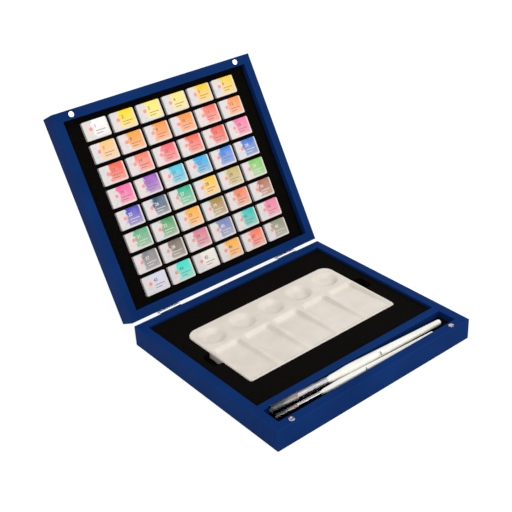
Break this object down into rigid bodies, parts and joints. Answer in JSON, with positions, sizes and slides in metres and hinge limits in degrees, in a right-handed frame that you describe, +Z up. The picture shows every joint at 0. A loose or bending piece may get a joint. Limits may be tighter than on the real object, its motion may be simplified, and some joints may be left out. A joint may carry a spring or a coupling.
{
  "type": "wooden watercolor box",
  "caption": "Hinged wooden paint box with foam-set watercolour pans in the lid, and a ceramic palette and capped brushes in the base.",
  "frame": {"origin": "centre of the base's flat underside, on the surface that the box lies on", "axes": "+Z up, +X to the right along the hinges, +Y from the front wall towards the hinges and the open lid"},
  "size_m": [0.252, 0.3515, 0.2209],
  "materials": {
    "navy_paint": "satin",
    "black_foam": "matte",
    "magnet_nickel": "satin",
    "hinge_steel": "satin",
    "white_glaze": "gloss",
    "pearl_lacquer": "gloss",
    "ferrule_chrome": "polished",
    "brush_hair": "satin",
    "clear_plastic": "gloss",
    "pan_papers_1": "satin",
    "pan_papers_2": "satin",
    "pan_papers_3": "satin",
    "pan_papers_4": "satin",
    "pan_papers_5": "satin",
    "pan_papers_6": "satin",
    "pan_papers_7": "satin",
    "pan_papers_8": "satin"
  },
  "bodies": {
    "base": {"base_floor": "navy_paint", "base_front_wall": "navy_paint", "base_back_wall": "navy_paint", "base_left_wall": "navy_paint", "base_right_wall": "navy_paint", "base_divider": "navy_paint", "base_foam": "black_foam", "base_foam_backing": "black_foam", "brush_bed_foam": "black_foam", "base_magnet_left": "magnet_nickel", "base_magnet_right": "magnet_nickel", "left_hinge_base_leaf": "hinge_steel", "left_hinge_pin": "hinge_steel", "left_hinge_base_screw_1": "hinge_steel", "left_hinge_base_screw_2": "hinge_steel", "right_hinge_base_leaf": "hinge_steel", "right_hinge_pin": "hinge_steel", "right_hinge_base_screw_1": "hinge_steel", "right_hinge_base_screw_2": "hinge_steel"},
    "lid": {"lid_panel": "navy_paint", "lid_front_wall": "navy_paint", "lid_back_wall": "navy_paint", "lid_left_wall": "navy_paint", "lid_right_wall": "navy_paint", "lid_foam": "black_foam", "lid_foam_backing": "black_foam", "lid_magnet_left": "magnet_nickel", "lid_magnet_right": "magnet_nickel", "left_hinge_lid_leaf": "hinge_steel", "left_hinge_lid_screw_1": "hinge_steel", "left_hinge_lid_screw_2": "hinge_steel", "right_hinge_lid_leaf": "hinge_steel", "right_hinge_lid_screw_1": "hinge_steel", "right_hinge_lid_screw_2": "hinge_steel"},
    "palette": {"palette": "white_glaze"},
    "large_brush": {"large_brush_handle": "pearl_lacquer", "large_brush_ferrule": "ferrule_chrome", "large_brush_hair": "brush_hair"},
    "large_brush_cap": {"large_brush_cap": "clear_plastic"},
    "small_brush": {"small_brush_handle": "pearl_lacquer", "small_brush_ferrule": "ferrule_chrome", "small_brush_hair": "brush_hair"},
    "small_brush_cap": {"small_brush_cap": "clear_plastic"},
    "pan_row_1": {"pan_row_1": "pan_papers_1"},
    "pan_row_2": {"pan_row_2": "pan_papers_2"},
    "pan_row_3": {"pan_row_3": "pan_papers_3"},
    "pan_row_4": {"pan_row_4": "pan_papers_4"},
    "pan_row_5": {"pan_row_5": "pan_papers_5"},
    "pan_row_6": {"pan_row_6": "pan_papers_6"},
    "pan_row_7": {"pan_row_7": "pan_papers_7"},
    "pan_row_8": {"pan_row_8": "pan_papers_8"}
  },
  "joints": [
    {"name": "lid_hinge", "type": "hinge", "parent": "base", "child": "lid", "pos_m": [0, 0.11355, 0.02315], "axis": [-1, 0, 0], "range_deg": [-118.4, 0]},
    {"name": "palette_lift", "type": "slide", "parent": "base", "child": "palette", "axis": [0, 0, 1], "range_m": [0, 0.035]},
    {"name": "large_brush_lift", "type": "slide", "parent": "base", "child": "large_brush", "axis": [0, 0, 1], "range_m": [0, 0.035]},
    {"name": "large_brush_cap_slide", "type": "slide", "parent": "large_brush", "child": "large_brush_cap", "axis": [-0.9994, 0.03, 0.0145], "range_m": [0, 0.0054]},
    {"name": "small_brush_lift", "type": "slide", "parent": "base", "child": "small_brush", "axis": [0, 0, 1], "range_m": [0, 0.035]},
    {"name": "small_brush_cap_slide", "type": "slide", "parent": "small_brush", "child": "small_brush_cap", "axis": [-0.9995, 0.0286, 0.0099], "range_m": [0, 0.0042]},
    {"name": "pan_row_1_lift", "type": "slide", "parent": "lid", "child": "pan_row_1", "axis": [0, -0.8796, 0.4756], "range_m": [0, 0.014]},
    {"name": "pan_row_2_lift", "type": "slide", "parent": "lid", "child": "pan_row_2", "axis": [0, -0.8796, 0.4756], "range_m": [0, 0.014]},
    {"name": "pan_row_3_lift", "type": "slide", "parent": "lid", "child": "pan_row_3", "axis": [0, -0.8796, 0.4756], "range_m": [0, 0.014]},
    {"name": "pan_row_4_lift", "type": "slide", "parent": "lid", "child": "pan_row_4", "axis": [0, -0.8796, 0.4756], "range_m": [0, 0.014]},
    {"name": "pan_row_5_lift", "type": "slide", "parent": "lid", "child": "pan_row_5", "axis": [0, -0.8796, 0.4756], "range_m": [0, 0.014]},
    {"name": "pan_row_6_lift", "type": "slide", "parent": "lid", "child": "pan_row_6", "axis": [0, -0.8796, 0.4756], "range_m": [0, 0.014]},
    {"name": "pan_row_7_lift", "type": "slide", "parent": "lid", "child": "pan_row_7", "axis": [0, -0.8796, 0.4756], "range_m": [0, 0.014]},
    {"name": "pan_row_8_lift", "type": "slide", "parent": "lid", "child": "pan_row_8", "axis": [0, -0.8796, 0.4756], "range_m": [0, 0.014]}
  ]
}
